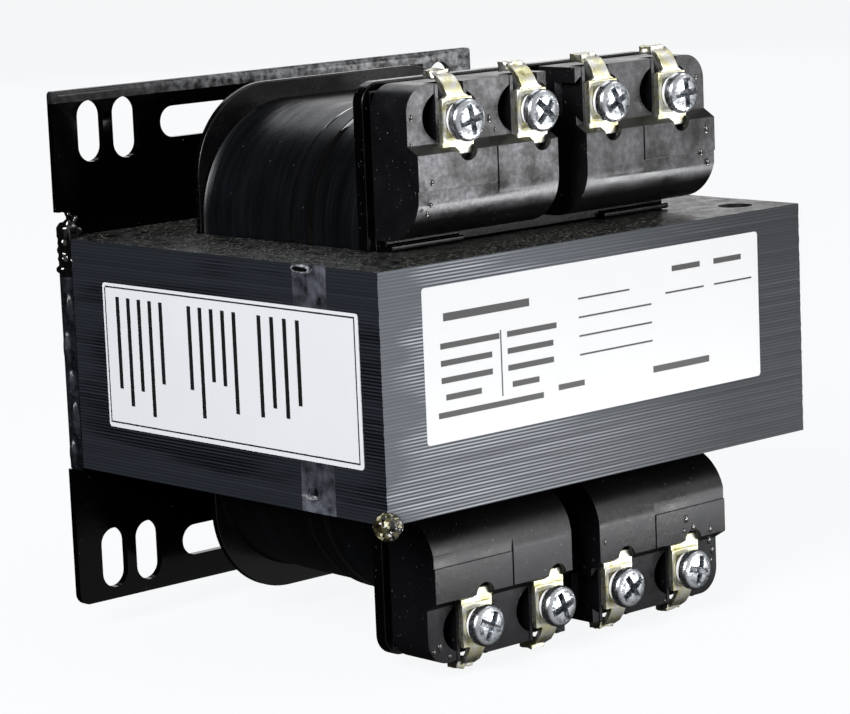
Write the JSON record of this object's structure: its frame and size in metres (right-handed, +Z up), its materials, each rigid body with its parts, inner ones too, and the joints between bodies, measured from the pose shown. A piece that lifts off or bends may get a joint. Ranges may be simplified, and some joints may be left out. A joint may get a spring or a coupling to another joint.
{
  "type": "panel mount control transformer",
  "caption": "Open core-and-coil transformer: varnished lamination stack, black bobbin with screw terminal blocks above and below, on a slotted steel mounting plate.",
  "frame": {"origin": "centre of the mounting plate's rear face, which lies on the panel", "axes": "+Z up, -Y out of the panel towards the front label, +X right as seen from the front"},
  "size_m": [0.1188, 0.1001, 0.1152],
  "materials": {
    "lamination_steel": "varnished, finely lined edges",
    "plate_paint": "glossy black paint",
    "weld_steel": "ground and varnished",
    "moulded_nylon": "moulded, varnish streaks",
    "coil_tape": "varnished tape",
    "chromate_tab": "bright yellow chromate",
    "zinc_screw": "bright zinc plate",
    "label_stock": "white label",
    "set_varnish": "clear amber"
  },
  "bodies": {
    "root": {"bobbin": "moulded_nylon", "coil_end_wrap": "coil_tape", "coil_winding": "coil_tape", "core_e_stack": "lamination_steel", "core_i_stack": "lamination_steel", "front_label": "label_stock", "mounting_plate": "plate_paint", "plate_weld_left": "weld_steel", "plate_weld_right": "weld_steel", "screw_lower_1": "zinc_screw", "screw_lower_2": "zinc_screw", "screw_lower_3": "zinc_screw", "screw_lower_4": "zinc_screw", "screw_upper_1": "zinc_screw", "screw_upper_2": "zinc_screw", "screw_upper_3": "zinc_screw", "screw_upper_4": "zinc_screw", "seam_weld_left": "weld_steel", "seam_weld_right": "weld_steel", "side_label": "label_stock", "terminal_block_lower_left": "moulded_nylon", "terminal_block_lower_right": "moulded_nylon", "terminal_block_upper_left": "moulded_nylon", "terminal_block_upper_right": "moulded_nylon", "terminal_lower_1": "chromate_tab", "terminal_lower_2": "chromate_tab", "terminal_lower_3": "chromate_tab", "terminal_lower_4": "chromate_tab", "terminal_upper_1": "chromate_tab", "terminal_upper_2": "chromate_tab", "terminal_upper_3": "chromate_tab", "terminal_upper_4": "chromate_tab", "varnish_drip": "set_varnish"}
  },
  "joints": []
}
